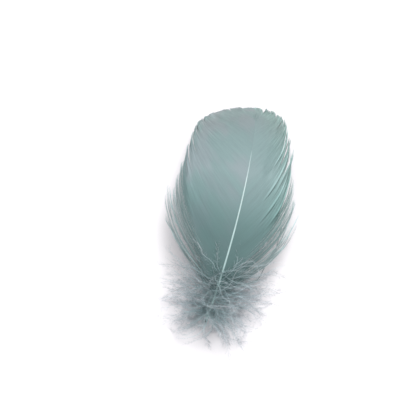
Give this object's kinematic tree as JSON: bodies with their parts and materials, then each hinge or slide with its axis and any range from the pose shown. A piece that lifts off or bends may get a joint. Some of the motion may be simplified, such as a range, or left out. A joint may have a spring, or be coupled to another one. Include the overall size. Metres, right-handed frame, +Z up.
{
  "type": "goose feather",
  "caption": "Curled goose body feather lying back up: tapering curved quill, broad cupped vanes with a blunt rounded end, and fluffy down at the foot.",
  "frame": {"origin": "on the table, under the middle of the feather: bottom centre of its box", "axes": "+Z up, out of the rounded back of the feather; +Y from the foot of the quill to the tip of the vane; +X to the right, towards the narrower vane"},
  "size_m": [0.0548, 0.1276, 0.021],
  "materials": {
    "quill": "satin",
    "vane": "satin",
    "down": "matte"
  },
  "bodies": {
    "root": {"shaft": "quill", "left_vane": "vane", "right_vane": "vane", "left_down": "down", "right_down": "down"}
  },
  "joints": []
}
